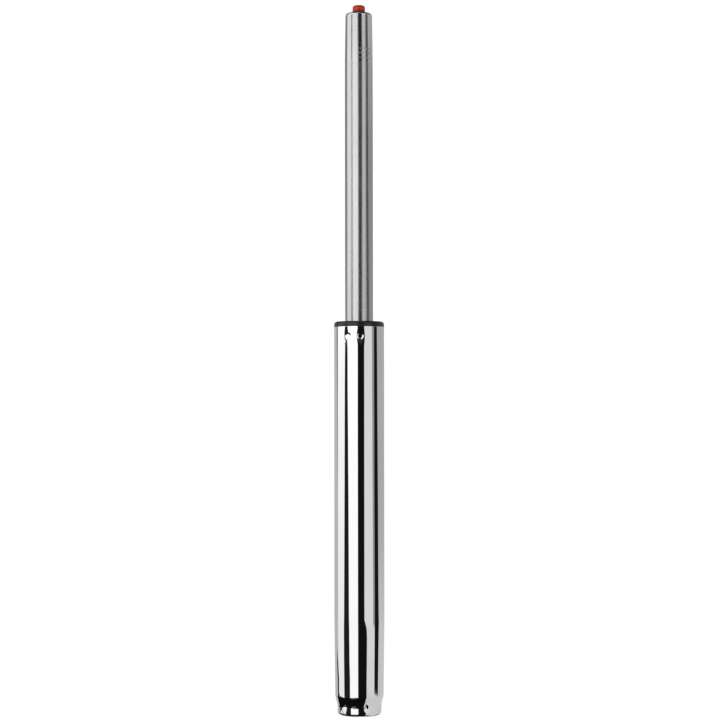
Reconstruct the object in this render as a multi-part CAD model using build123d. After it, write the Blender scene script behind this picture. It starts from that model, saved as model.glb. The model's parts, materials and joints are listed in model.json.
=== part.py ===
"""Telescopic gas lift column of a swivel stool, drawn fully extended, in millimetres.

The frame's origin is the centre of the column's bottom rim and +Z runs up the common axis.
A polished column holds a plastic guide bush. The pressure tube of a gas spring slides in that
bush, and its piston rod hangs down to a thrust bearing and a clip in the foot of the column.
"""

import os

from build123d import *
from math import cos, radians, sin, tan

# Standard chair-column sizes
COLUMN_OD = 50.0
COLUMN_WALL = 1.5
TUBE_OD = 28.0
TUBE_WALL = 2.0
ROD_D = 10.0
CONE_SLOPE = tan(radians(1.4378 / 2))  # radius lost per mm on both cones, 1 deg 26' 16" included
STROKE = 260.0
BUTTON_TRAVEL = 4.0

# Heights of the outside shape
NECK_TOP = 10.0
SHOULDER_TOP = 19.0
BASE_CONE_TOP = 93.5
COLUMN_TOP = 387.0
FLANGE_T = 5.4
TUBE_BOTTOM = 296.0
TUBE_TOP = 702.0
SEAT_CONE_LENGTH = 50.0
BUTTON_TOP = 710.0

# Radii of the outside shape
COLUMN_R = COLUMN_OD / 2
COLUMN_BORE_R = COLUMN_R - COLUMN_WALL
BASE_CONE_END_R = COLUMN_R - CONE_SLOPE * (BASE_CONE_TOP - SHOULDER_TOP)
NECK_R = 21.9
RIM_OPENING_R = 15.0
RIM_ROUND = 3.0
TUBE_R = TUBE_OD / 2
TUBE_BORE_R = TUBE_R - TUBE_WALL
TUBE_TOP_R = TUBE_R - CONE_SLOPE * SEAT_CONE_LENGTH
TUBE_TOP_ROUND = 3.0
TUBE_LIP_T = 1.8
TUBE_TOP_OPENING_R = 9.0
TUBE_FOOT_OPENING_R = 8.0
BUTTON_R = 6.3
BUTTON_TOP_ROUND = 2.2
CONE_BLEND_R = 800.0  # eases a cone into its cylinder over about 10 mm
SHOULDER_BLEND_R = 7.0
NECK_BLEND_R = 12.0

# Dimples pressed into the column: bush locks near the top, foot stakes in the neck
LOCK_Z = COLUMN_TOP - 10.0
LOCK_PAIRS = 3
LOCK_ANGLES = (-116.5, -87.5)  # one pair, degrees from +X; the pairs repeat round the axis
LOCK_OPENING_R = 3.7
LOCK_FLAT_R = 1.9
LOCK_DEPTH = 1.1
STAKE_Z = 9.7
STAKE_COUNT = 6
STAKE_START = -71.0
STAKE_OPENING_R = 2.1
STAKE_FLAT_R = 0.6
STAKE_DEPTH = 0.8

# Fits
RUNNING = 0.05
SEAT_GAP = 0.02

# Guide bush
BUSH_BOTTOM = COLUMN_TOP - 75.0
BUSH_HEAD_BOTTOM = COLUMN_TOP - 20.0
BUSH_FOOT_TOP = BUSH_BOTTOM + 8.0
BUSH_SLEEVE_R = 16.3
BUSH_RIBS = 12
BUSH_RIB_T = 1.8

# Foot of the column: pressed cup, thrust bearing, clip
CUP_TOP = 11.0
CUP_T = 2.5
CUP_R = NECK_R - COLUMN_WALL - RUNNING
CUP_ROUND = 4.5
ROD_NECK_R = 4.0
RACE_R = 12.0
RACE_T = 1.4
BALL_R = 1.5
BALL_COUNT = 12
BALL_PITCH_R = 8.2
BALL_Z = 13.5
LOWER_RACE_TOP = CUP_TOP + RACE_T
UPPER_RACE_BOTTOM = 2 * BALL_Z - LOWER_RACE_TOP
UPPER_RACE_TOP = UPPER_RACE_BOTTOM + RACE_T
BUMPER_TOP = TUBE_BOTTOM - STROKE - 0.5
BUMPER_R = 12.5
ROD_END_Z = 3.2
CLIP_Z = 5.6
CLIP_T = 1.3
CLIP_R = 7.5
CLIP_GROOVE_R = 3.2
WASHER_T = 1.4

# Lower pack of the gas spring, stacked up from the rolled foot of the pressure tube
GUIDE_BOTTOM = TUBE_BOTTOM + TUBE_LIP_T
GUIDE_TOP = GUIDE_BOTTOM + 12.2
SEAL_TOP = GUIDE_TOP + 7.8
BACKING_TOP = SEAL_TOP + 2.0
CENTRING_SEAT = BACKING_TOP + 6.2
CENTRING_TOP = CENTRING_SEAT + 9.8
GUIDE_BUSH_R = 6.3
SPRING_FIT_R = TUBE_BORE_R - RUNNING

# Piston
ROD_R = ROD_D / 2
CYLINDER_BORE_R = 9.5
CYLINDER_R = 10.5
PISTON_R = CYLINDER_BORE_R - 0.15
PISTON_BOTTOM = CENTRING_TOP + 0.3
PISTON_TOP = PISTON_BOTTOM + 11.5
PISTON_WASHER_T = 1.2
ROD_SPIGOT_R = 3.5
RIVET_R = 4.6
RIVET_T = 1.0

# Valve at the top of the gas spring
VALVE_BOTTOM = TUBE_TOP - 72.5
VALVE_SHOULDER = VALVE_BOTTOM + 10.0
CHAMBER_BOTTOM = VALVE_BOTTOM + 20.0
VALVE_WAIST_TOP = VALVE_BOTTOM + 29.0
CHAMBER_TOP = VALVE_BOTTOM + 32.0
VALVE_TOP = VALVE_BOTTOM + 58.5
PLUG_TOP = TUBE_TOP - TUBE_LIP_T
CHAMBER_R = 5.5
STEM_R = 3.0
STEM_BOTTOM = VALVE_BOTTOM + 3.0
STEM_WAIST_R = 2.2
STEM_COLLAR_R = 4.4
STEM_TOP = PLUG_TOP + 0.3
BUTTON_BOTTOM = VALVE_TOP + BUTTON_TRAVEL + 0.5
PORT_R = 1.0
PORT_COUNT = 4
HOUSING_SEAL_Z = (VALVE_BOTTOM + 36.5, VALVE_BOTTOM + 46.5)
HOUSING_SEAL_R = 1.15
STEM_SEAL_Z = (VALVE_BOTTOM + 14.8, VALVE_BOTTOM + 51.8)
STEM_SEAL_R = 1.05


def turned(points, rounds=None):
    """Solid turned about Z from a closed outline of (radius, height) points.

    rounds gives the corner radius at a point, by the point's place in the list.
    """
    corners = [(r, 0, z) for r, z in points]
    if rounds:
        radii = [rounds.get(i, 0) for i in range(len(corners))]
        outline = FilletPolyline(*corners, radius=radii, close=True)
    else:
        outline = Polyline(*corners, close=True)
    return revolve(make_face(outline.edges()), Axis.Z, 360)


def ring(inner_r, outer_r, bottom, top):
    """Plain ring with a rectangular section."""
    return turned([(inner_r, bottom), (outer_r, bottom), (outer_r, top), (inner_r, top)])


def polar(radius, angle, height):
    """Location at a radius and an angle in degrees from +X, with its X axis pointing outwards."""
    return Pos(radius * cos(radians(angle)), radius * sin(radians(angle)), height) * Rot(0, 0, angle)


def o_ring(inner_r, section_r, height):
    """Rubber ring whose hole has the given radius."""
    return Pos(0, 0, height) * Torus(inner_r + section_r, section_r)


def dimples(wall_r, depth, opening_r, flat_r, places):
    """Flat-nosed dimples in the column's wall: the bumps to add inside and the punches to cut.

    places lists (angle, height) pairs.
    """
    skin = 0.9 * COLUMN_WALL
    length = depth + 2.0
    flare = length * (opening_r - flat_r) / depth
    bump_r = flat_r + 0.6 * skin
    bump = Rot(0, 90, 0) * Cone(bump_r, bump_r + flare, length)
    punch = Rot(0, 90, 0) * Cone(flat_r, flat_r + flare, length)
    inside = Cylinder(wall_r - COLUMN_WALL / 2, 2 * COLUMN_TOP)
    centre_r = wall_r - depth + length / 2
    bumps = [polar(centre_r - skin, angle, z) * bump & inside for angle, z in places]
    punches = [polar(centre_r, angle, z) * punch for angle, z in places]
    return bumps, punches


# Column and what is fixed in it


def outer_tube():
    """Polished column: cylinder, base cone, shoulder, neck and a rim rolled inwards."""
    wall = COLUMN_WALL
    outside = [
        (RIM_OPENING_R, 0),
        (NECK_R, 0),
        (NECK_R, NECK_TOP),
        (BASE_CONE_END_R, SHOULDER_TOP),
        (COLUMN_R, BASE_CONE_TOP),
        (COLUMN_R, COLUMN_TOP),
    ]
    inside = [(r - wall, z) for r, z in outside[:1:-1]]
    lip = [(NECK_R - wall, wall), (RIM_OPENING_R, wall)]
    rounds = {
        1: RIM_ROUND,
        2: NECK_BLEND_R,
        3: SHOULDER_BLEND_R,
        4: CONE_BLEND_R,
        5: 0.3,
        7: CONE_BLEND_R,
        8: SHOULDER_BLEND_R,
        9: NECK_BLEND_R,
        10: RIM_ROUND - wall,
    }
    tube = turned(outside + inside + lip, rounds)
    locks = [(a + 360 / LOCK_PAIRS * i, LOCK_Z) for i in range(LOCK_PAIRS) for a in LOCK_ANGLES]
    stakes = [(STAKE_START + 360 / STAKE_COUNT * i, STAKE_Z) for i in range(STAKE_COUNT)]
    for sizes in (
        (COLUMN_R, LOCK_DEPTH, LOCK_OPENING_R, LOCK_FLAT_R, locks),
        (NECK_R, STAKE_DEPTH, STAKE_OPENING_R, STAKE_FLAT_R, stakes),
    ):
        bumps, punches = dimples(*sizes)
        tube = tube + bumps - punches
    return tube


def guide_bush():
    """Moulded bush: flange on the column's end, locking groove, ribbed sleeve and foot ring."""
    bore = TUBE_R + RUNNING
    fit = COLUMN_BORE_R - SEAT_GAP
    groove_half = 4.4
    groove_r = COLUMN_BORE_R - 1.4
    sleeve = turned(
        [
            (bore, BUSH_BOTTOM),
            (fit, BUSH_BOTTOM),
            (fit, BUSH_FOOT_TOP),
            (BUSH_SLEEVE_R, BUSH_FOOT_TOP),
            (BUSH_SLEEVE_R, BUSH_HEAD_BOTTOM),
            (fit, BUSH_HEAD_BOTTOM),
            (fit, LOCK_Z - groove_half),
            (groove_r, LOCK_Z - groove_half),
            (groove_r, LOCK_Z + groove_half),
            (fit, LOCK_Z + groove_half),
            (fit, COLUMN_TOP),
            (COLUMN_R, COLUMN_TOP),
            (COLUMN_R, COLUMN_TOP + FLANGE_T),
            (bore, COLUMN_TOP + FLANGE_T),
        ],
        {1: 1.0, 12: 2.6, 13: 0.6},
    )
    rib_length = fit - BUSH_SLEEVE_R
    rib_height = BUSH_HEAD_BOTTOM - BUSH_FOOT_TOP
    middle_z = (BUSH_HEAD_BOTTOM + BUSH_FOOT_TOP) / 2
    rib = Box(rib_length + 0.5, BUSH_RIB_T, rib_height)
    ribs = [
        polar(BUSH_SLEEVE_R + rib_length / 2 - 0.5, 360 / BUSH_RIBS * i, middle_z) * rib
        for i in range(BUSH_RIBS)
    ]
    return sleeve + ribs


def base_cup():
    """Pressed steel cup that closes the column's foot and carries the bearing."""
    skirt_bottom = COLUMN_WALL
    hole_r = ROD_NECK_R + 0.5
    inner_r = CUP_R - CUP_T
    return turned(
        [
            (inner_r, skirt_bottom),
            (CUP_R, skirt_bottom),
            (CUP_R, CUP_TOP),
            (hole_r, CUP_TOP),
            (hole_r, CUP_TOP - CUP_T),
            (inner_r, CUP_TOP - CUP_T),
        ],
        {1: 1.7, 2: CUP_ROUND, 5: CUP_ROUND - CUP_T},
    )


def race_washer(bore_r, bottom, top):
    """Bearing washer with the balls' groove cut in it."""
    groove = Pos(0, 0, BALL_Z) * Torus(BALL_PITCH_R, BALL_R + SEAT_GAP)
    return ring(bore_r, RACE_R, bottom, top) - groove


# Bearing cage and balls


def bearing_cage():
    """Flat cage with a pocket for each ball."""
    half = 0.8
    cage = ring(5.6, 10.8, BALL_Z - half, BALL_Z + half)
    pocket = Cylinder(BALL_R + 0.1, 4 * half)
    return cage - [polar(BALL_PITCH_R, 360 / BALL_COUNT * i, BALL_Z) * pocket for i in range(BALL_COUNT)]


def bearing_balls():
    """The balls, each a solid of its own."""
    return Compound(
        [polar(BALL_PITCH_R, 360 / BALL_COUNT * i, BALL_Z) * Sphere(BALL_R) for i in range(BALL_COUNT)]
    )


# Piston rod and what turns with it


def piston_rod():
    """Ground rod: clip groove and neck at the foot, riveted spigot at the piston."""
    groove_bottom = CLIP_Z - 0.1
    groove_top = CLIP_Z + CLIP_T + 0.1
    rivet_bottom = PISTON_TOP + PISTON_WASHER_T
    return turned(
        [
            (0, ROD_END_Z),
            (ROD_NECK_R, ROD_END_Z),
            (ROD_NECK_R, groove_bottom),
            (CLIP_GROOVE_R, groove_bottom),
            (CLIP_GROOVE_R, groove_top),
            (ROD_NECK_R, groove_top),
            (ROD_NECK_R, UPPER_RACE_TOP),
            (ROD_R, UPPER_RACE_TOP),
            (ROD_R, PISTON_BOTTOM),
            (ROD_SPIGOT_R, PISTON_BOTTOM),
            (ROD_SPIGOT_R, rivet_bottom),
            (RIVET_R, rivet_bottom),
            (RIVET_R, rivet_bottom + RIVET_T),
            (0, rivet_bottom + RIVET_T),
        ],
        {1: 0.8, 12: 0.8},
    )


def bumper():
    """Rubber end stop on the rod, waisted so that it can bulge."""
    middle = (UPPER_RACE_TOP + BUMPER_TOP) / 2
    return turned(
        [
            (ROD_R + 0.1, UPPER_RACE_TOP),
            (BUMPER_R, UPPER_RACE_TOP),
            (BUMPER_R - 1.6, middle),
            (BUMPER_R, BUMPER_TOP),
            (ROD_R + 0.1, BUMPER_TOP),
        ],
        {1: 1.5, 2: 8.0, 3: 1.5},
    )


def retaining_clip():
    """Spring clip pushed sideways into the rod's groove."""
    disc = Cylinder(CLIP_R, CLIP_T)
    seat = Cylinder(CLIP_GROOVE_R, 2 * CLIP_T)
    mouth = Pos(CLIP_R, 0, 0) * Box(2 * CLIP_R, 2 * CLIP_GROOVE_R * 0.86, 2 * CLIP_T)
    relief = Cylinder(1.5, 2 * CLIP_T)
    reliefs = [polar(CLIP_GROOVE_R + 1.2, side * 118, 0) * relief for side in (1, -1)]
    return Pos(0, 0, CLIP_Z + CLIP_T / 2) * (disc - seat - mouth - reliefs)


def piston():
    """Piston with a seal groove and a guide-ring groove."""
    return turned(
        [
            (ROD_SPIGOT_R, PISTON_BOTTOM),
            (PISTON_R, PISTON_BOTTOM),
            (PISTON_R, PISTON_BOTTOM + 3.6),
            (7.8, PISTON_BOTTOM + 3.6),
            (7.8, PISTON_BOTTOM + 6.0),
            (PISTON_R, PISTON_BOTTOM + 6.0),
            (PISTON_R, PISTON_BOTTOM + 7.4),
            (8.6, PISTON_BOTTOM + 7.4),
            (8.6, PISTON_BOTTOM + 9.9),
            (PISTON_R, PISTON_BOTTOM + 9.9),
            (PISTON_R, PISTON_TOP),
            (ROD_SPIGOT_R, PISTON_TOP),
        ],
        {1: 0.5, 10: 0.5},
    )


# Pressure tube and what is built into it


def pressure_tube():
    """Ground steel tube, conical at the seat end, both ends rolled over their packs."""
    return turned(
        [
            (TUBE_FOOT_OPENING_R, TUBE_BOTTOM),
            (TUBE_R, TUBE_BOTTOM),
            (TUBE_R, TUBE_TOP - SEAT_CONE_LENGTH),
            (TUBE_TOP_R, TUBE_TOP),
            (TUBE_TOP_OPENING_R, TUBE_TOP),
            (TUBE_TOP_OPENING_R, PLUG_TOP),
            (TUBE_BORE_R, PLUG_TOP),
            (TUBE_BORE_R, GUIDE_BOTTOM),
            (TUBE_FOOT_OPENING_R, GUIDE_BOTTOM),
        ],
        {1: 2.0, 2: CONE_BLEND_R, 3: TUBE_TOP_ROUND, 4: 0.4},
    )


def rod_guide():
    """Guide body at the foot of the gas spring."""
    mouth_r = ROD_R + 0.6
    ledge = GUIDE_BOTTOM + 1.2
    return turned(
        [
            (mouth_r, GUIDE_BOTTOM),
            (SPRING_FIT_R, GUIDE_BOTTOM),
            (SPRING_FIT_R, GUIDE_TOP),
            (GUIDE_BUSH_R, GUIDE_TOP),
            (GUIDE_BUSH_R, ledge),
            (mouth_r, ledge),
        ]
    )


def rod_seal():
    """Lip seal, open towards the pressure."""
    return turned(
        [
            (ROD_R + 0.03, GUIDE_TOP),
            (SPRING_FIT_R, GUIDE_TOP),
            (SPRING_FIT_R, SEAL_TOP),
            (10.2, SEAL_TOP),
            (8.5, SEAL_TOP - 4.0),
            (6.8, SEAL_TOP),
            (ROD_R + 0.03, SEAL_TOP),
        ],
        {4: 0.6},
    )


def centring_ring():
    """Ring that centres the inner cylinder's foot, slotted for the gas to pass."""
    bore = ROD_R + 0.8
    body = turned(
        [
            (bore, BACKING_TOP),
            (SPRING_FIT_R, BACKING_TOP),
            (SPRING_FIT_R, CENTRING_SEAT),
            (CYLINDER_BORE_R - RUNNING, CENTRING_SEAT),
            (CYLINDER_BORE_R - RUNNING, CENTRING_TOP),
            (bore, CENTRING_TOP),
        ],
        {4: 0.8},
    )
    slot_depth = 3.0
    slot = Box(2 * SPRING_FIT_R + 2, 2.2, slot_depth)
    level = CENTRING_SEAT - slot_depth / 2
    return body - [Pos(0, 0, level) * Rot(0, 0, turn) * slot for turn in (45, 135)]


def valve_housing():
    """Turned valve body: spigot in the inner cylinder, chamber, ports and seal grooves."""
    bore = STEM_R + RUNNING
    outside = [
        (bore, VALVE_BOTTOM),
        (CYLINDER_BORE_R - RUNNING, VALVE_BOTTOM),
        (CYLINDER_BORE_R - RUNNING, VALVE_SHOULDER),
        (CYLINDER_R + 0.4, VALVE_SHOULDER),
        (CYLINDER_R + 0.4, VALVE_WAIST_TOP),
        (SPRING_FIT_R, VALVE_WAIST_TOP),
    ]
    groove_r = SPRING_FIT_R - 2 * HOUSING_SEAL_R
    for z in HOUSING_SEAL_Z:
        half = HOUSING_SEAL_R + 0.3
        outside += [
            (SPRING_FIT_R, z - half),
            (groove_r, z - half),
            (groove_r, z + half),
            (SPRING_FIT_R, z + half),
        ]
    outside += [(SPRING_FIT_R, VALVE_TOP), (bore, VALVE_TOP)]
    body = turned(outside)
    chamber = ring(bore - 0.5, CHAMBER_R, CHAMBER_BOTTOM, CHAMBER_TOP)
    seal_half = STEM_SEAL_R + 0.15
    seal_r = bore + 2 * STEM_SEAL_R
    seal_grooves = [ring(bore - 0.5, seal_r, z - seal_half, z + seal_half) for z in STEM_SEAL_Z]
    port = Rot(0, 90, 0) * Cylinder(PORT_R, 12.0)
    port_z = (CHAMBER_BOTTOM + CHAMBER_TOP) / 2
    ports = [polar(9.0, 45 + 360 / PORT_COUNT * i, port_z) * port for i in range(PORT_COUNT)]
    return body - chamber - seal_grooves - ports


def housing_seals():
    """Rings between the valve housing and the pressure tube."""
    inner_r = SPRING_FIT_R - 2 * HOUSING_SEAL_R
    return Compound([o_ring(inner_r, HOUSING_SEAL_R, z) for z in HOUSING_SEAL_Z])


def stem_seals():
    """Rings between the valve housing and the stem."""
    return Compound([o_ring(STEM_R + 0.03, STEM_SEAL_R, z) for z in STEM_SEAL_Z])


def top_plug():
    """Steel plug under the rolled top edge, bored to guide the button."""
    return turned(
        [
            (BUTTON_R + 0.2, VALVE_TOP),
            (SPRING_FIT_R, VALVE_TOP),
            (SPRING_FIT_R, PLUG_TOP),
            (BUTTON_R + 0.2, PLUG_TOP),
        ],
        {3: 0.5},
    )


# Release button and valve stem


def valve_stem():
    """Valve pin: closed head, waist that opens the port, stop collar and pushed end."""
    waist_bottom = CHAMBER_BOTTOM - 2.5
    collar_bottom = CHAMBER_TOP - 3.0
    collar_top = CHAMBER_TOP - RUNNING
    return turned(
        [
            (0, STEM_BOTTOM),
            (STEM_R, STEM_BOTTOM),
            (STEM_R, waist_bottom),
            (STEM_WAIST_R, waist_bottom + 1.0),
            (STEM_WAIST_R, collar_bottom),
            (STEM_COLLAR_R, collar_bottom),
            (STEM_COLLAR_R, collar_top),
            (STEM_R, collar_top),
            (STEM_R, STEM_TOP),
            (0, STEM_TOP),
        ],
        {1: 0.6},
    )


def release_button():
    """Plastic button pressed on the stem's end."""
    return turned(
        [
            (STEM_R, BUTTON_BOTTOM),
            (BUTTON_R, BUTTON_BOTTOM),
            (BUTTON_R, BUTTON_TOP),
            (0, BUTTON_TOP),
            (0, STEM_TOP),
            (STEM_R, STEM_TOP),
        ],
        {1: 0.5, 2: BUTTON_TOP_ROUND},
    )


NODES = {
    "outer_tube": outer_tube,
    "guide_bush": guide_bush,
    "base_cup": base_cup,
    "bearing_lower_race": lambda: race_washer(ROD_NECK_R + 0.3, CUP_TOP, LOWER_RACE_TOP),
    "bearing_cage": bearing_cage,
    "bearing_balls": bearing_balls,
    "bearing_upper_race": lambda: race_washer(ROD_NECK_R, UPPER_RACE_BOTTOM, UPPER_RACE_TOP),
    "piston_rod": piston_rod,
    "bumper": bumper,
    "retaining_washer": lambda: ring(ROD_NECK_R, 9.0, CLIP_Z + CLIP_T + 0.1, CUP_TOP - CUP_T - 0.1),
    "retaining_clip": retaining_clip,
    "piston": piston,
    "piston_seal": lambda: o_ring(7.85, 0.8, PISTON_BOTTOM + 4.8),
    "piston_guide_ring": lambda: ring(8.6, 9.45, PISTON_BOTTOM + 7.5, PISTON_BOTTOM + 9.8),
    "piston_washer": lambda: ring(ROD_SPIGOT_R, 6.5, PISTON_TOP, PISTON_TOP + PISTON_WASHER_T),
    "pressure_tube": pressure_tube,
    "inner_cylinder": lambda: ring(CYLINDER_BORE_R, CYLINDER_R, CENTRING_SEAT, VALVE_SHOULDER),
    "rod_guide": rod_guide,
    "rod_guide_bush": lambda: ring(ROD_R + RUNNING, GUIDE_BUSH_R, GUIDE_BOTTOM + 1.2, GUIDE_TOP),
    "rod_seal": rod_seal,
    "seal_backing_washer": lambda: ring(ROD_R + 0.3, SPRING_FIT_R, SEAL_TOP, BACKING_TOP),
    "centring_ring": centring_ring,
    "valve_housing": valve_housing,
    "housing_seals": housing_seals,
    "stem_seals": stem_seals,
    "top_plug": top_plug,
    "valve_stem": valve_stem,
    "release_button": release_button,
}


def main():
    os.makedirs("parts", exist_ok=True)
    for name, make in NODES.items():
        export_step(make(), f"parts/{name}.step")


main()
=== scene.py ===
"""Looks of a gas lift column: chromed column, black bush, ground tube and red button.

The CAD frame gives every body and place. The pieces seen from outside are turned here again with
finer rims, seams and dimples. The parts sealed inside keep their CAD meshes and get materials.
Heights and radii are in mm from the centre of the column's bottom rim and become metres in turned().
"""

import json
import math

import bmesh
import bpy
from mathutils import Matrix, Vector


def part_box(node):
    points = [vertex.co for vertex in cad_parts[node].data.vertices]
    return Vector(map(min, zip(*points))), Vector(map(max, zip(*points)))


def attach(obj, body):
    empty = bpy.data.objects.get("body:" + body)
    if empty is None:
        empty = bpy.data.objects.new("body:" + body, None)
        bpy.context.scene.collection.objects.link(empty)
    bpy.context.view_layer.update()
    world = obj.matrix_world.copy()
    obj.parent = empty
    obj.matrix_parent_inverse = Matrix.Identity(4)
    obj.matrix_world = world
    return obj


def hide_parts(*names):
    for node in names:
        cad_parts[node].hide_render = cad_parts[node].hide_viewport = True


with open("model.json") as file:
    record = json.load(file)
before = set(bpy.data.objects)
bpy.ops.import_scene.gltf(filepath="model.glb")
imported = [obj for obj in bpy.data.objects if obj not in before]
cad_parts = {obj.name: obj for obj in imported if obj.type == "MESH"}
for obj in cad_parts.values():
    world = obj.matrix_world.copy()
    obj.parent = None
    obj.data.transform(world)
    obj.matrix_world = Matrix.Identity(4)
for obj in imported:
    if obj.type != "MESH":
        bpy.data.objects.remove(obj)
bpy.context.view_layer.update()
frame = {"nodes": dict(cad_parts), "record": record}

MM = 0.001
SEGMENTS = 640  # round the column and the tube; smaller pieces take a share of it
SHARP = math.radians(35)  # profile corners sharper than this stay crisp
CHORD = math.radians(5)  # most that a rounded corner turns from one row to the next
CONE_SLOPE = math.tan(math.radians(1.4378 / 2))
CONE_BLEND_R = 800.0  # eases a cone into its cylinder over about 10 mm
PAPER_WHITE = 1.02  # brightness of the white ground and of what the camera sees behind it


def radius_of(node):
    """Outer radius of a CAD node, in mm."""
    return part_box(node)[1].x / MM


def bottom_of(node):
    """Lowest point of a CAD node, in mm."""
    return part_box(node)[0].z / MM


def top_of(node):
    """Highest point of a CAD node, in mm."""
    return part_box(node)[1].z / MM


# Column
COLUMN_R = radius_of("outer_tube")
COLUMN_TOP = top_of("outer_tube")
WALL = 1.5
NECK_R = 21.9
NECK_FOOT_R = NECK_R - 0.13
NECK_TOP = 10.0
NECK_BLEND_R = 12.0
SHOULDER_TOP = 19.0
SHOULDER_BLEND_R = 7.0
BASE_CONE_TOP = 93.5
BASE_CONE_END_R = COLUMN_R - CONE_SLOPE * (BASE_CONE_TOP - SHOULDER_TOP)
RIM_OPENING_R = 15.0
RIM_ROUND = 3.0
EDGE = 0.25  # round on a sheared edge

# Dimples: bush locks near the top and stakes in the neck, at angles in degrees from +X
LOCK_Z = COLUMN_TOP - 10.0
LOCK_ANGLES = [angle + 120.0 * third for third in range(3) for angle in (-116.5, -87.5)]
LOCK = {"nose": 2.3, "rim": 3.3, "depth": 0.55, "skirt": 0.2, "spread": (3.4, 6.0)}
STAKE_Z = 9.9
STAKE_ANGLES = [-72.0 + 60.0 * i for i in range(6)]
STAKE = {"nose": 0.4, "rim": 2.2, "depth": 0.66, "skirt": 0.25, "spread": (2.4, 3.6)}
DENT_ROWS = 0.26  # spacing of the mesh's rows across a dimple
INNER_SHARE = 0.75  # how far the wall's inner face moves, as a share of the outer

# Bush, tube and button
TUBE_R = radius_of("pressure_tube")
TUBE_WALL = 2.0
TUBE_BORE_R = TUBE_R - TUBE_WALL
TUBE_BOTTOM = bottom_of("pressure_tube")
TUBE_TOP = top_of("pressure_tube")
SEAT_CONE_LENGTH = 50.0
SEAT_CONE_Z = TUBE_TOP - SEAT_CONE_LENGTH
BUSH_BOTTOM = bottom_of("guide_bush")
BUSH_TOP = top_of("guide_bush")
BUTTON_R = radius_of("release_button")
BUTTON_BOTTOM = bottom_of("release_button")
BUTTON_TOP = top_of("release_button")


# Turned meshes


def rounded(corners):
    """Outline in mm from (radius, height, corner round) triples, with each round as short chords."""
    points = []
    for i, (r, z, corner_r) in enumerate(corners):
        here = Vector((r, z))
        if not corner_r:
            points.append(here)
            continue
        before = (Vector(corners[i - 1][:2]) - here).normalized()
        after = (Vector(corners[(i + 1) % len(corners)][:2]) - here).normalized()
        half = before.angle(after) / 2
        centre = here + (before + after).normalized() * corner_r / math.sin(half)
        spoke = here + before * corner_r / math.tan(half) - centre
        turn = (math.pi - 2 * half) * (1 if before.cross(after) < 0 else -1)
        steps = max(6, math.ceil(abs(turn) / CHORD))
        points += [centre + Matrix.Rotation(turn * k / steps, 2) @ spoke for k in range(steps + 1)]
    return points


def refined(points, fine=(), hold=0.35):
    """The outline with a point held near each end of a long run, and close rows where it is dented.

    fine lists (lowest height, highest height, spacing) of the close rows.
    """
    result = []
    for a, b in zip(points, points[1:] + points[:1]):
        run = b - a
        places = [0.0]
        if run.length > 4 * hold:
            places += [hold / run.length, 1 - hold / run.length]
        for low, high, spacing in fine:
            if abs(run.y) > spacing:
                rows = math.ceil((high - low) / spacing)
                heights = [low + (high - low) * k / rows for k in range(rows + 1)]
                places += [t for t in [(h - a.y) / run.y for h in heights] if 0.001 < t < 0.999]
        result += [a + run * t for t in sorted(places)]
    return result


def turned(name, outline, segments=SEGMENTS):
    """Smooth mesh turned about Z from an outline of (radius, height) points.

    The outline is a closed ring, or starts and ends on the axis.
    """
    mesh = bmesh.new()
    turns = [2 * math.pi * k / segments for k in range(segments)]
    on_axis = 1e-6
    rings = []
    for r, z in outline:
        if r < on_axis:
            rings.append([mesh.verts.new((0, 0, z * MM))] * segments)
        else:
            places = [(r * MM * math.cos(t), r * MM * math.sin(t), z * MM) for t in turns]
            rings.append([mesh.verts.new(spot) for spot in places])
    for lower, upper in zip(rings, rings[1:] + rings[:1]):
        for k in range(segments):
            n = (k + 1) % segments
            corners = list(dict.fromkeys([lower[k], lower[n], upper[n], upper[k]]))
            if len(corners) > 2:
                mesh.faces.new(corners)
    return finished(name, mesh)


def finished(name, mesh):
    """Object from a bmesh, shaded smooth except across sharp corners."""
    bmesh.ops.recalc_face_normals(mesh, faces=mesh.faces)
    for face in mesh.faces:
        face.smooth = True
    for edge in mesh.edges:
        edge.smooth = len(edge.link_faces) == 2 and edge.calc_face_angle() < SHARP
    data = bpy.data.meshes.new(name)
    mesh.to_mesh(data)
    mesh.free()
    obj = bpy.data.objects.new(name, data)
    bpy.context.scene.collection.objects.link(obj)
    return obj


def dent(obj, angle, height, nose, rim, depth, skirt, spread):
    """Presses a dimple with a flat nose and a conical side into an upright wall.

    nose and rim are the radii of its flat and its mouth. The wall round it is drawn in with it by
    skirt, which fades over spread: a length across the wall and one along it. The wall's inner
    face moves less than the outer.
    """
    centre = math.radians(angle)
    reach = 2.2 * max(spread)
    deepest_r = NECK_R - WALL - 1
    for v in obj.data.vertices:
        rise = v.co.z / MM - height
        if abs(rise) > reach:
            continue
        r = math.hypot(v.co.x, v.co.y) / MM
        turn = math.atan2(v.co.y, v.co.x) - centre
        across = r * math.atan2(math.sin(turn), math.cos(turn))
        away = math.hypot(across, rise)
        if away > reach or r < deepest_r:
            continue
        part = min(1.0, max(0.0, (rim - away) / (rim - nose)))
        drawn_in = skirt * math.exp(-((across / spread[0]) ** 2) - (rise / spread[1]) ** 2)
        flat = depth + skirt - across * across / (2 * r)
        push = drawn_in + (flat - drawn_in) * part
        wall_middle_r = (COLUMN_R if height > NECK_TOP else NECK_R) - WALL / 2
        if r < wall_middle_r:
            push *= INNER_SHARE
        v.co.x *= 1 - push / r
        v.co.y *= 1 - push / r


def place(obj, body, node, material):
    """Puts a finished piece on its CAD body, in place of its CAD node."""
    obj.data.materials.append(material)
    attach(obj, body)
    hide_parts(node)
    return obj


# Material nodes


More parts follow.
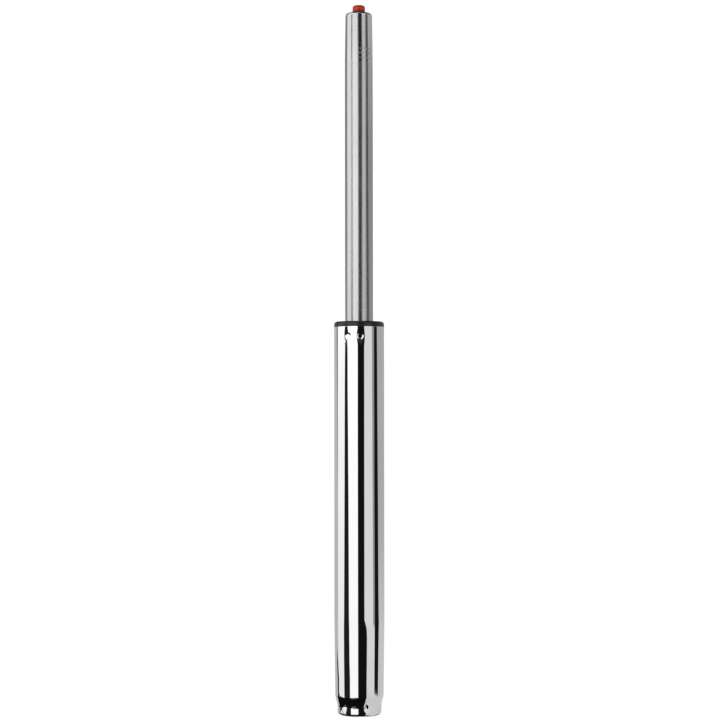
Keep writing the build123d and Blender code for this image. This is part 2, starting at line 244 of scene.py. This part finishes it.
class Graph:
    """A node tree under construction."""

    def __init__(self, owner):
        owner.use_nodes = True
        self.nodes = owner.node_tree.nodes
        self.links = owner.node_tree.links
        self.nodes.clear()

    def put(self, socket, value):
        """Links a socket to another node's output, or sets it to a number or colour."""
        if isinstance(value, bpy.types.NodeSocket):
            self.links.new(value, socket)
        else:
            socket.default_value = value

    def math(self, operation, *values):
        node = self.nodes.new("ShaderNodeMath")
        node.operation = operation
        for socket, value in zip(node.inputs, values):
            self.put(socket, value)
        return node.outputs[0]

    def ramp(self, value, from_low, from_high, to_low, to_high, smooth=False):
        node = self.nodes.new("ShaderNodeMapRange")
        if smooth:
            node.interpolation_type = "SMOOTHSTEP"
        for socket, number in zip(node.inputs, (value, from_low, from_high, to_low, to_high)):
            self.put(socket, number)
        return node.outputs[0]

    def xyz(self, vector):
        node = self.nodes.new("ShaderNodeSeparateXYZ")
        self.put(node.inputs[0], vector)
        return node.outputs


class Material(Graph):
    """A node material, in the object's own coordinates in metres."""

    def __init__(self, name):
        self.data = bpy.data.materials.new(name)
        super().__init__(self.data)
        self.output = self.nodes.new("ShaderNodeOutputMaterial")
        self.shader = self.nodes.new("ShaderNodeBsdfPrincipled")
        self.links.new(self.shader.outputs["BSDF"], self.output.inputs["Surface"])
        self.place = self.nodes.new("ShaderNodeTexCoord").outputs["Object"]

    def set(self, **values):
        """Sets shader sockets, with _ for a space in their names."""
        for key, value in values.items():
            self.put(self.shader.inputs[key.replace("_", " ")], value)

    def height(self):
        """Height in the object, in metres."""
        return self.xyz(self.place)[2]

    def stretched(self, x, y, z):
        """The object's coordinates, scaled."""
        node = self.nodes.new("ShaderNodeMapping")
        self.put(node.inputs["Vector"], self.place)
        node.inputs["Scale"].default_value = (x, y, z)
        return node.outputs[0]

    def polar(self, radial, around, along):
        """Coordinates (radius, turns round the axis, height), scaled, for marks left by turning."""
        x, y, z = self.xyz(self.place)
        squares = self.math("ADD", self.math("MULTIPLY", x, x), self.math("MULTIPLY", y, y))
        out = self.math("SQRT", squares)
        turn = self.math("ARCTAN2", y, x)
        node = self.nodes.new("ShaderNodeCombineXYZ")
        self.put(node.inputs[0], self.math("MULTIPLY", out, radial))
        self.put(node.inputs[1], self.math("MULTIPLY", turn, around))
        self.put(node.inputs[2], self.math("MULTIPLY", z, along))
        return node.outputs[0]

    def noise(self, vector, scale=1.0, detail=3.0, roughness=0.5):
        node = self.nodes.new("ShaderNodeTexNoise")
        self.put(node.inputs["Vector"], vector)
        node.inputs["Scale"].default_value = scale
        node.inputs["Detail"].default_value = detail
        node.inputs["Roughness"].default_value = roughness
        return node.outputs[0]

    def mix(self, factor, low, high):
        """Colour between two colours or sockets."""
        node = self.nodes.new("ShaderNodeMix")
        node.data_type = "RGBA"
        self.put(node.inputs["Factor"], factor)
        for socket, colour in ((node.inputs[6], low), (node.inputs[7], high)):
            self.put(socket, colour if isinstance(colour, bpy.types.NodeSocket) else (*colour, 1))
        return node.outputs[2]

    def bump(self, height, distance, strength=1.0, under=None):
        """Normal pushed by a height of 0 to 1, which stands for distance mm."""
        node = self.nodes.new("ShaderNodeBump")
        node.inputs["Strength"].default_value = strength
        node.inputs["Distance"].default_value = distance * MM
        self.put(node.inputs["Height"], height)
        if under is not None:
            self.put(node.inputs["Normal"], under)
        return node.outputs[0]


def polished_chrome():
    """Mirror plating over a polished tube: long faint waves, and a haze of wiping marks."""
    m = Material("polished_chrome")
    haze = m.noise(m.polar(900, 14, 260), detail=4)
    smear = m.noise(m.stretched(60, 60, 22), detail=5, roughness=0.6)
    m.set(
        Base_Color=m.mix(m.ramp(smear, 0.35, 0.7, 0, 1), (0.93, 0.931, 0.934), (0.895, 0.897, 0.902)),
        Metallic=1.0,
        Roughness=m.ramp(m.math("MULTIPLY", haze, smear), 0.1, 0.5, 0.008, 0.03),
    )
    waves = m.noise(m.stretched(190, 190, 24), detail=2)
    m.set(Normal=m.bump(waves, 0.012))
    return m.data


def ground_steel():
    """Centreless-ground bright steel, with a finer finish on the seat cone and a faint etched field."""
    m = Material("ground_tube")
    on_cone = m.ramp(m.height(), (SEAT_CONE_Z - 1) * MM, (SEAT_CONE_Z + 1) * MM, 0, 1, smooth=True)
    grind = m.noise(m.polar(0, 3, 9000), detail=4, roughness=0.7)
    bands = m.noise(m.polar(0, 0.6, 60), detail=2)
    stain = m.noise(m.stretched(55, 55, 16), detail=5, roughness=0.6)
    uneven = m.ramp(bands, 0.3, 0.7, -0.012, 0.012)
    rough = m.math("ADD", m.ramp(grind, 0.25, 0.75, 0.18, 0.23), uneven)
    rough = m.math("SUBTRACT", rough, m.math("MULTIPLY", on_cone, 0.065))
    light = m.mix(m.ramp(stain, 0.3, 0.75, 0, 1), (0.64, 0.642, 0.65), (0.58, 0.582, 0.59))
    mark = etched_field(m)
    m.set(
        Base_Color=m.mix(m.math("MULTIPLY", mark, 0.55), light, (0.47, 0.47, 0.48)),
        Metallic=m.ramp(on_cone, 0, 1, 0.955, 1.0),
        Roughness=m.math("ADD", rough, m.math("MULTIPLY", mark, 0.2)),
        Normal=m.bump(grind, 0.0004),
    )
    return m.data


def etched_field(m):
    """Mask of a small field of plain laser-etched dashes on the seat cone: three rows, no lettering."""
    lowest = SEAT_CONE_Z + 1.5
    rows = 3
    row_height = 4.6
    first_turn, last_turn = math.radians(-92), math.radians(-26)
    dashes_per_radian = 6.5
    row_shift = 0.37
    dash_share = 0.62
    turn = m.xyz(m.polar(0, 1, 1))[1]
    row = m.math("DIVIDE", m.math("SUBTRACT", m.height(), lowest * MM), row_height * MM)
    in_row = m.math("FRACT", row)
    line = m.math("MULTIPLY", m.math("GREATER_THAN", in_row, 0.22), m.math("LESS_THAN", in_row, 0.78))
    high = m.math("MULTIPLY", m.math("GREATER_THAN", row, 0), m.math("LESS_THAN", row, rows))
    after, before = m.math("GREATER_THAN", turn, first_turn), m.math("LESS_THAN", turn, last_turn)
    wide = m.math("MULTIPLY", after, before)
    shift = m.math("MULTIPLY", m.math("FLOOR", row), row_shift)
    dashes = m.math("FRACT", m.math("ADD", m.math("MULTIPLY", turn, dashes_per_radian), shift))
    dash = m.math("LESS_THAN", dashes, dash_share)
    return m.math("MULTIPLY", m.math("MULTIPLY", line, high), m.math("MULTIPLY", wide, dash))


def black_acetal():
    """Moulded black plastic with a fine grain and pale rubbing along the slide."""
    m = Material("black_bush")
    grain = m.noise(m.stretched(2200, 2200, 2200), detail=2)
    flow = m.noise(m.polar(500, 5, 900), detail=4)
    m.set(
        Base_Color=m.mix(m.ramp(flow, 0.3, 0.75, 0, 1), (0.007, 0.007, 0.008), (0.018, 0.018, 0.019)),
        Roughness=m.ramp(flow, 0.3, 0.7, 0.22, 0.36),
        Specular_IOR_Level=0.5,
        Normal=m.bump(flow, 0.03, under=m.bump(grain, 0.01)),
    )
    return m.data


def red_plastic():
    """Orange-red moulded button with a satin skin, with painted shade in patches on its top edge and
    towards its foot.
    """
    m = Material("red_button")
    cloud = m.noise(m.stretched(260, 260, 260), detail=3)
    grain = m.noise(m.stretched(3500, 3500, 3500), detail=2)
    height = m.height()
    # Painted shade: the colour darkens towards the foot, where the tube's rolled top keeps light off,
    # and in patches on the top edge, under the dark overhead.
    painted_foot_shade = m.ramp(height, (TUBE_TOP + 1.2) * MM, (TUBE_TOP + 3.6) * MM, 1, 0, smooth=True)
    painted_top_edge_shade = m.ramp(height, (BUTTON_TOP - 3.2) * MM, (BUTTON_TOP - 0.8) * MM, 0, 1, smooth=True)
    patchy = m.ramp(cloud, 0.3, 0.7, 0.55, 0.85)
    painted_shade_mask = m.math("MAXIMUM", m.math("MULTIPLY", painted_foot_shade, 0.95), m.math("MULTIPLY", painted_top_edge_shade, patchy))
    bright = m.mix(m.ramp(cloud, 0.35, 0.7, 0, 1), (0.72, 0.036, 0.004), (0.56, 0.020, 0.003))
    m.set(
        # (0.07, 0.009, 0.004) is the colour of the painted shade.
        Base_Color=m.mix(painted_shade_mask, bright, (0.07, 0.009, 0.004)),
        Roughness=m.ramp(cloud, 0.3, 0.7, 0.24, 0.34),
        Specular_IOR_Level=0.38,
        Normal=m.bump(grain, 0.006),
    )
    return m.data


def zinc_steel():
    """Pressed steel with bright zinc: faint spangle and a yellow to blue tint."""
    m = Material("zinc_steel")
    tint = m.noise(m.stretched(130, 130, 130), detail=3)
    spangle = m.noise(m.stretched(900, 900, 900), detail=4)
    m.set(
        Base_Color=m.mix(m.ramp(tint, 0.3, 0.7, 0, 1), (0.76, 0.74, 0.68), (0.68, 0.72, 0.77)),
        Metallic=1.0,
        Roughness=m.ramp(spangle, 0.3, 0.7, 0.24, 0.44),
        Normal=m.bump(spangle, 0.01),
    )
    return m.data


def turned_metal(name, light, dark, smooth, rough, pitch, depth):
    """Metal cut on a lathe: rings of tool marks along the height and the radius."""
    m = Material(name)
    marks = m.noise(m.polar(pitch, 1.5, pitch), detail=3, roughness=0.65)
    wear = m.noise(m.stretched(150, 150, 60), detail=4)
    m.set(
        Base_Color=m.mix(m.ramp(wear, 0.3, 0.72, 0, 1), light, dark),
        Metallic=1.0,
        Roughness=m.ramp(marks, 0.28, 0.72, smooth, rough),
        Normal=m.bump(marks, depth),
    )
    return m.data


def soft_polymer(name, light, dark, smooth, rough, grain):
    """Rubber or slide plastic with a fine grain and a cloudy bloom."""
    m = Material(name)
    bloom = m.noise(m.stretched(180, 180, 120), detail=4)
    skin = m.noise(m.stretched(grain, grain, grain), detail=3)
    m.set(
        Base_Color=m.mix(m.ramp(bloom, 0.3, 0.75, 0, 1), dark, light),
        Roughness=m.ramp(bloom, 0.3, 0.7, smooth, rough),
        Normal=m.bump(skin, 0.015),
    )
    return m.data


def white_seamless():
    """Evenly lit white paper for the floor."""
    m = Material("white_seamless")
    m.nodes.remove(m.shader)
    glow = m.nodes.new("ShaderNodeEmission")
    fibre = m.noise(m.stretched(8, 8, 8), detail=4)
    m.put(glow.inputs["Color"], m.mix(fibre, (1.0, 1.0, 1.0), (0.995, 0.995, 1.0)))
    glow.inputs["Strength"].default_value = PAPER_WHITE
    m.links.new(glow.outputs[0], m.output.inputs["Surface"])
    return m.data


# Light colour, dark colour, least and most roughness, pitch of the tool marks, and their depth
TURNED_METALS = {
    "hard_steel": ((0.78, 0.78, 0.79), (0.70, 0.70, 0.72), 0.10, 0.20, 6000, 0.002),
    "brass_cage": ((0.80, 0.62, 0.32), (0.66, 0.48, 0.22), 0.22, 0.38, 2500, 0.005),
    "ground_rod": ((0.82, 0.82, 0.83), (0.75, 0.75, 0.76), 0.08, 0.16, 9000, 0.002),
    "aluminium_turned": ((0.83, 0.84, 0.85), (0.74, 0.75, 0.77), 0.20, 0.34, 3200, 0.006),
    "drawn_tube": ((0.70, 0.70, 0.70), (0.58, 0.58, 0.59), 0.22, 0.38, 700, 0.004),
    "bronze_bush": ((0.72, 0.52, 0.30), (0.58, 0.38, 0.20), 0.25, 0.40, 2200, 0.004),
}
# Light colour, dark colour, least and most roughness, and fineness of the grain
SOFT_POLYMERS = {
    "black_rubber": ((0.030, 0.030, 0.031), (0.014, 0.014, 0.015), 0.55, 0.75, 1800),
    "white_slide_ring": ((0.80, 0.79, 0.76), (0.68, 0.67, 0.63), 0.4, 0.55, 1500),
}
MATERIALS = {
    "polished_chrome": polished_chrome(),
    "black_bush": black_acetal(),
    "zinc_steel": zinc_steel(),
    "ground_tube": ground_steel(),
    "red_button": red_plastic(),
}
MATERIALS.update({name: turned_metal(name, *look) for name, look in TURNED_METALS.items()})
MATERIALS.update({name: soft_polymer(name, *look) for name, look in SOFT_POLYMERS.items()})


# Pieces seen from outside


def column():
    """Chromed column: rolled rim, staked neck, shoulder, base cone, and the bush's locking dimples."""
    outside = [
        (RIM_OPENING_R, 0, EDGE),
        (NECK_FOOT_R, 0, RIM_ROUND),
        (NECK_R, NECK_TOP, NECK_BLEND_R),
        (BASE_CONE_END_R, SHOULDER_TOP, SHOULDER_BLEND_R),
        (COLUMN_R, BASE_CONE_TOP, CONE_BLEND_R),
        (COLUMN_R, COLUMN_TOP, 0.35),
    ]
    inside = [(r - WALL, z, corner) for r, z, corner in outside[:1:-1]]
    rim = [(NECK_FOOT_R - WALL, WALL, RIM_ROUND - WALL), (RIM_OPENING_R, WALL, EDGE)]
    close = [
        (LOCK_Z - 9.6, COLUMN_TOP - 0.4, DENT_ROWS),
        (STAKE_Z - 6.5, STAKE_Z + 7.5, DENT_ROWS),
    ]
    outline = refined(rounded(outside + inside + rim), fine=close, hold=0.05)
    obj = turned("column_shell", outline)
    for angle in LOCK_ANGLES:
        dent(obj, angle, LOCK_Z, **LOCK)
    for angle in STAKE_ANGLES:
        dent(obj, angle, STAKE_Z, **STAKE)
    return place(obj, "column", "outer_tube", MATERIALS["polished_chrome"])


def with_ribs(obj, radii, thickness, heights, count):
    """Adds upright ribs between two radii, spread evenly round the axis."""
    mesh = bmesh.new()
    mesh.from_mesh(obj.data)
    inner, outer = radii
    low, high = heights
    size = Matrix.Diagonal(((outer - inner) * MM, thickness * MM, (high - low) * MM, 1))
    middle = Matrix.Translation(((outer + inner) / 2 * MM, 0, (high + low) / 2 * MM))
    for i in range(count):
        turn = Matrix.Rotation(2 * math.pi * i / count, 4, "Z")
        rib = bmesh.ops.create_cube(mesh, size=1, matrix=turn @ middle @ size)
        edges = {edge for v in rib["verts"] for edge in v.link_edges}
        bmesh.ops.bevel(mesh, geom=list(edges), offset=0.2 * MM, segments=2, affect="EDGES", profile=0.5)
    for face in mesh.faces:
        face.smooth = True
    mesh.to_mesh(obj.data)
    mesh.free()


def bush():
    """Guide bush: rounded flange with a wiping lip, locking groove, and a ribbed sleeve below."""
    bore = TUBE_R + 0.05
    fit = COLUMN_R - WALL - 0.02
    head_bottom = COLUMN_TOP - 20.0
    foot_top = BUSH_BOTTOM + 8.0
    sleeve_r = 16.3
    groove_r = fit - 1.38
    groove_half = 4.4
    lip = 0.7  # height of the wiping lip's step
    outline = refined(
        rounded(
            [
                (bore, BUSH_BOTTOM, 0.4),
                (fit, BUSH_BOTTOM, 1.0),
                (fit, foot_top, 0.3),
                (sleeve_r, foot_top, 0.4),
                (sleeve_r, head_bottom, 0.4),
                (fit, head_bottom, 0.3),
                (fit, LOCK_Z - groove_half, 0.3),
                (groove_r, LOCK_Z - groove_half, 0.3),
                (groove_r, LOCK_Z + groove_half, 0.3),
                (fit, LOCK_Z + groove_half, 0.3),
                (fit, COLUMN_TOP, 0.1),
                (COLUMN_R, COLUMN_TOP, 0.15),
                (COLUMN_R, BUSH_TOP - 0.3, 2.8),
                (bore + 1.6, BUSH_TOP, 0.3),
                (bore + 0.9, BUSH_TOP - lip, 0.3),
                (bore, BUSH_TOP - lip, 0.3),
            ]
        )
    )
    obj = turned("bush_with_flange", outline, SEGMENTS // 2)
    with_ribs(obj, (sleeve_r - 0.4, fit), 1.8, (foot_top - 0.2, head_bottom + 0.2), 12)
    return place(obj, "column", "guide_bush", MATERIALS["black_bush"])


def tube():
    """Ground pressure tube: seat cone on top, and both ends rolled over."""
    cone_top_r = TUBE_R - CONE_SLOPE * SEAT_CONE_LENGTH
    foot_opening_r = 8.0
    top_opening_r = 9.0
    rolled_t = 1.8
    outline = refined(
        rounded(
            [
                (foot_opening_r, TUBE_BOTTOM, 0.3),
                (TUBE_R, TUBE_BOTTOM, 2.0),
                (TUBE_R, SEAT_CONE_Z, CONE_BLEND_R),
                (cone_top_r, TUBE_TOP, 2.8),
                (top_opening_r, TUBE_TOP, 0.6),
                (top_opening_r, TUBE_TOP - rolled_t, 0.3),
                (TUBE_BORE_R, TUBE_TOP - rolled_t, 1.0),
                (TUBE_BORE_R, TUBE_BOTTOM + rolled_t, 1.0),
                (foot_opening_r, TUBE_BOTTOM + rolled_t, 0.3),
            ]
        )
    )
    obj = turned("ground_pressure_tube", outline)
    return place(obj, "gas_spring", "pressure_tube", MATERIALS["ground_tube"])


def plug():
    """Steel plug between the rolled edge and the button."""
    lowest = bottom_of("top_plug")
    highest = top_of("top_plug")
    outer = radius_of("top_plug")
    bore = BUTTON_R + 0.2
    section = [(bore, lowest, 0.3), (outer, lowest, 0.5), (outer, highest, 0.9), (bore, highest, 0.5)]
    obj = turned("plug_round_button", refined(rounded(section)), SEGMENTS // 4)
    return place(obj, "gas_spring", "top_plug", MATERIALS["zinc_steel"])


def button():
    """Push button: domed edge, and a shallow dish on top where the lever bears."""
    stem_r = 3.0
    stem_top = top_of("valve_stem") + 0.02
    dish = BUTTON_TOP - 0.12
    outline = refined(
        rounded(
            [
                (0, dish, 0),
                (2.2, dish, 1.2),
                (3.0, BUTTON_TOP, 0.8),
                (BUTTON_R, BUTTON_TOP, 2.4),
                (BUTTON_R, BUTTON_BOTTOM, 0.5),
                (stem_r, BUTTON_BOTTOM, 0.3),
                (stem_r, stem_top, 0.2),
                (0, stem_top, 0),
            ]
        )
    )
    obj = turned("push_button", outline, SEGMENTS // 4)
    return place(obj, "release", "release_button", MATERIALS["red_button"])


def floor():
    """Seamless white ground that the column stands on."""
    size = 6.0
    mesh = bmesh.new()
    bmesh.ops.create_grid(mesh, x_segments=8, y_segments=8, size=size)
    obj = finished("seamless_floor", mesh)
    obj.data.materials.append(white_seamless())
    obj.visible_glossy = False


# Studio


class World(Graph):
    """The studio round the object as soft boxes and dark cards, placed by direction.

    Azimuth is in degrees from -Y towards +X, elevation in degrees above the horizon.
    """

    def __init__(self, everywhere):
        world = bpy.data.worlds.new("studio")
        bpy.context.scene.world = world
        super().__init__(world)
        x, y, z = self.xyz(self.nodes.new("ShaderNodeTexCoord").outputs["Generated"])
        turn = self.math("ARCTAN2", x, self.math("MULTIPLY", y, -1.0))
        degree = 180 / math.pi
        self.azimuth = self.math("MULTIPLY", turn, degree)
        self.elevation = self.math("MULTIPLY", self.math("ARCSINE", z), degree)
        self.light = everywhere

    def step(self, value, edge, soft):
        """0 below the edge and 1 above it, over twice the softness."""
        before, after = self.math("SUBTRACT", edge, soft), self.math("ADD", edge, soft)
        return self.ramp(value, before, after, 0, 1, smooth=True)

    def along(self, coordinate, value):
        """The value itself, or one read off (coordinate, value) pairs by straight lines."""
        if not isinstance(value, list):
            return value
        result = value[0][1]
        for (low, start), (high, end) in zip(value, value[1:]):
            result = self.math("ADD", self.ramp(coordinate, low, high, 0, end - start), result)
        return result

    def card(self, light, left=-181, right=181, low=-91, high=91, soft=0.8):
        """Puts a box or card of that brightness between two azimuths and two elevations.

        Its brightness and its sides may change with elevation, and its ends with azimuth.
        """
        light, left, right = [self.along(self.elevation, value) for value in (light, left, right)]
        low, high = [self.along(self.azimuth, value) for value in (low, high)]
        mask = self.step(self.azimuth, left, soft)
        mask = self.math("MULTIPLY", mask, self.step(self.elevation, low, soft))
        for coordinate, end in ((self.azimuth, right), (self.elevation, high)):
            inside = self.math("SUBTRACT", 1.0, self.step(coordinate, end, soft))
            mask = self.math("MULTIPLY", mask, inside)
        kept = self.math("MULTIPLY", self.math("SUBTRACT", 1.0, mask), self.light)
        self.light = self.math("ADD", kept, self.math("MULTIPLY", mask, light))

    def finish(self):
        """White behind the object for the camera, and the boxes and cards for everything else."""
        shown = self.nodes.new("ShaderNodeBackground")
        lit = self.nodes.new("ShaderNodeBackground")
        for background, strength in ((shown, PAPER_WHITE), (lit, self.light)):
            background.inputs["Color"].default_value = (1, 1, 1, 1)
            self.put(background.inputs["Strength"], strength)
        seen = self.nodes.new("ShaderNodeLightPath").outputs["Is Camera Ray"]
        mix = self.nodes.new("ShaderNodeMixShader")
        output = self.nodes.new("ShaderNodeOutputWorld")
        self.links.new(seen, mix.inputs[0])
        self.links.new(lit.outputs[0], mix.inputs[1])
        self.links.new(shown.outputs[0], mix.inputs[2])
        self.links.new(mix.outputs[0], output.inputs["Surface"])


def studio():
    """Two soft boxes on the left, a weaker one on the right, and dark gaps between them.

    Pairs in a list are (elevation, brightness) or (elevation, azimuth) for a card's light and sides,
    and (azimuth, elevation) for its ends.
    """
    world = World(everywhere=0.50)
    # Behind: grey, paler low down and high up on the right
    world.card([(10.5, 0.26), (12.5, 0.40)], -181, -111, low=3.1, soft=0.3)
    rear = [(-6.5, 0.58), (-3.0, 0.43), (2.0, 0.42), (5.0, 0.345)]
    rear += [(8.6, 0.335), (9.5, 0.47), (13.0, 0.60)]
    world.card(rear, 91, 181, soft=0.5)
    # The two soft boxes on the left
    left_end = [(2.7, -116.8), (3.3, -112.5), (10.5, -112.5), (12.5, -116.0)]
    world.card([(-6.0, 0.88), (-2.5, 0.95), (1.0, 1.0), (4.0, 1.15)], left_end, -63, soft=0.7)
    main_box = [(-6.0, 1.03), (1.0, 1.10), (4.0, 1.34), (10.5, 1.34), (12.9, 1.06)]
    world.card(main_box, -67, -5, soft=0.8)
    # The dark gap between them, which narrows with height
    gap_left = [(-8.0, -77.3), (-5.0, -74.6), (-2.0, -71.8), (1.0, -69.9), (2.2, -68.2)]
    gap_left += [(2.9, -68.0), (3.6, -62.6), (10.5, -62.6), (12.5, -69.7)]
    gap_right = [(-8.8, -45.5), (-8.3, -47.4), (-5.0, -49.4), (-2.0, -51.0), (1.0, -54.2)]
    gap_right += [(3.5, -54.8), (10.5, -54.8), (12.5, -59.5)]
    world.card([(2.0, 0.012), (3.5, 0.08)], gap_left, gap_right, soft=0.8)
    # The dark camera side, wider low down and high up
    front = [(-8.9, 34.5), (-7.7, 35.9), (-7.5, 34.5), (-6.1, 23.3), (2.0, 23.3), (5.2, 27.4)]
    front += [(9.0, 28.6), (12.0, 29.0), (12.7, 24.5)]
    camera_side = [(3.0, 0.006), (5.0, 0.032), (9.7, 0.03), (11.9, 0.01), (12.6, 0.03)]
    side = [(3.0, -6.4), (9.0, -5.2), (12.0, -6.0), (12.6, -11.0), (12.9, -13.5)]
    world.card(camera_side, side, front, soft=0.8)
    # The weaker box on the right, its grey return, and the dark gap behind it
    world.card(0.72, front, 91, soft=0.8)
    world.card(0.29, [(-5.0, 66.3), (0.0, 62.3), (2.5, 61.4), (5.0, 55.0)], 85, low=-7.3, soft=0.7)
    strip = [(2.0, 0.008), (6.0, 0.03), (10.0, 0.035), (12.5, 0.16)]
    strip_left = [(-9.0, 75.0), (-5.0, 75.3), (-2.5, 73.6), (0.0, 73.2), (2.5, 72.3), (5.0, 60.7)]
    strip_right = [(-9.0, 98.6), (-6.3, 101.5), (-5.0, 98.6), (-2.5, 96.5), (0.0, 93.2)]
    strip_right += [(7.0, 86.0), (13.0, 80.0)]
    world.card(strip, strip_left, strip_right, low=[(75.0, -9.03), (99.0, -8.88)], soft=0.05)
    # Low down on the right, between the camera side and that gap
    world.card(0.70, front, 75.0, high=-7.0, soft=0.4)
    # A dark edge beside the left box, thin at first and wide at the bottom
    edge_left = [(-9.2, -135.0), (-8.95, -124.5), (-8.2, -124.5), (-7.6, -130.5), (-7.2, -127.0)]
    edge_right = [(-9.14, -120.0), (-9.12, -88.0), (-9.02, -88.0), (-8.91, -99.0), (-8.76, -109.0)]
    edge_right += [(-8.60, -114.0), (-8.53, -113.5), (-8.22, -113.0), (-7.6, -122.0), (-7.2, -126.5)]
    world.card(0.01, edge_left, edge_right, high=-7.2, soft=0.2)
    line_left = [(-3.0, -118.0), (0.6, -121.8), (2.2, -125.0)]
    world.card(0.02, line_left, -116.9, low=-6.0, high=3.3, soft=0.3)
    # The ground: dark on the left and in front, pale on the right and behind
    world.card(0.62, 34, 181, high=-9.2, soft=0.2)
    ends = [(-92.0, -9.6), (-85.0, -14.0), (-75.0, -16.0), (-57.0, -13.0), (-10.0, -10.6)]
    world.card(0.004, edge_left, [(-45.0, 80.0), (-38.0, 34.0)], high=ends, soft=0.3)
    # Faint lights low round the back and sides, which only views from above catch
    world.card(0.75, -181, -150, high=-16, soft=2.5)
    world.card(0.30, -150, -122, high=-26, soft=2.5)
    world.card(0.12, -42, -18, low=-30, high=-17, soft=2.0)
    world.card(0.06, 118, 150, high=-25, soft=2.0)
    world.card(0.88, 150, 181, high=-20, soft=3.0)
    # Overhead: the boxes end, and it is dark straight above and behind
    world.card([(36.0, 1.1), (42.0, 0.1)], front, 60, low=15, soft=1.2)
    world.card(0.1, 60, 91, low=42, soft=3.0)
    world.card(0.16, 91, 181, low=24, soft=3.0)
    world.card(1.3, -130, -6.5, low=24, soft=3.0)
    world.card(0.02, low=54, soft=3.0)
    world.card(0.5, -60, 60, low=70, soft=4.0)
    world.card(0.02, -181, -115, low=20, soft=4.0)
    world.finish()


def camera():
    """Level with the column's middle, a little below the object's centre, looking slightly up."""
    data = bpy.data.cameras.new("camera")
    data.lens = 99.87
    data.sensor_width = 36.0
    data.shift_y = 0.0227
    obj = bpy.data.objects.new("camera", data)
    obj.location = (0.0008, -2.0, 0.2977)
    obj.rotation_euler = (math.radians(91.141), math.radians(0.06), 0)
    bpy.context.scene.collection.objects.link(obj)
    bpy.context.scene.camera = obj


def inner_parts():
    """Gives the CAD nodes that stay, mostly sealed inside, the material of their slot."""
    slots = {part["node"]: part["material_slot"] for part in frame["record"]["subparts"]}
    for name, node in frame["nodes"].items():
        material = MATERIALS[slots[name]]
        if not node.data.materials:
            node.data.materials.append(material)
        for i in range(len(node.data.materials)):
            node.data.materials[i] = material


camera()
inner_parts()
column()
bush()
tube()
plug()
button()
floor()
studio()
bpy.context.scene.view_settings.view_transform = "Standard"
